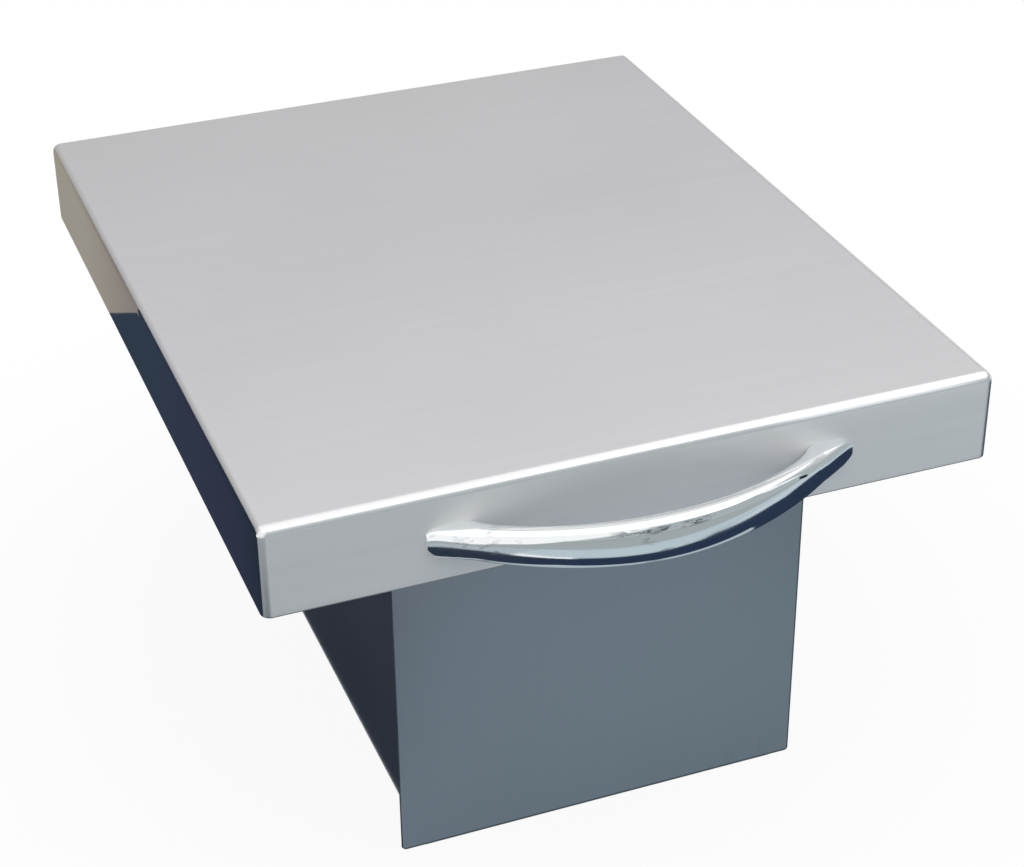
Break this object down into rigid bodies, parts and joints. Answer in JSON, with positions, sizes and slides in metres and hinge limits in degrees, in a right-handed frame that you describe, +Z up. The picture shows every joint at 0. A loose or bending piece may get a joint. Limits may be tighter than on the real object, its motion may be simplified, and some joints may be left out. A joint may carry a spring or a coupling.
{
  "type": "built-in trash chute",
  "caption": "Built-in trash chute for an outdoor kitchen worktop: hinged brushed-steel lid with a bow handle, worktop flange with a raised sealed rim, and a straight sheet-metal duct below.",
  "frame": {"origin": "middle of the worktop opening, on the underside of the flange where it rests on the worktop", "axes": "+X to the right seen from the handle, +Y to the back where the hinge is, +Z up"},
  "size_m": [0.305, 0.4253, 0.2015],
  "materials": {
    "lid_steel": "fine satin brush, left to right",
    "liner_steel": "plain satin sheet",
    "flange_steel": "satin sheet",
    "chute_steel": "mill satin sheet, bluish grey",
    "hinge_steel": "rolled steel leaf",
    "pin_steel": "drawn rod",
    "rivet_steel": "pressed steel",
    "screw_steel": "turned steel",
    "handle_chrome": "polished chrome plate",
    "gasket_rubber": "matt extruded rubber"
  },
  "bodies": {
    "chute": {"counter_flange": "flange_steel", "rim_upstand": "flange_steel", "rim_gasket": "gasket_rubber", "neck_rivets": "rivet_steel", "chute_front_panel": "chute_steel", "chute_rear_panel": "chute_steel", "chute_side_left": "chute_steel", "chute_side_right": "chute_steel", "hinge_frame_leaf": "hinge_steel", "hinge_pin": "pin_steel", "hinge_frame_rivets": "rivet_steel"},
    "lid": {"lid_shell": "lid_steel", "lid_liner": "liner_steel", "handle_bow": "handle_chrome", "handle_screw_left": "screw_steel", "handle_screw_right": "screw_steel", "handle_washer_left": "screw_steel", "handle_washer_right": "screw_steel", "hinge_lid_leaf": "hinge_steel", "hinge_lid_rivets": "rivet_steel"}
  },
  "joints": [
    {"name": "lid_hinge", "type": "hinge", "parent": "chute", "child": "lid", "pos_m": [0, 0.1883, 0.0048], "axis": [-1, 0, 0], "range_deg": [0, 100]}
  ]
}
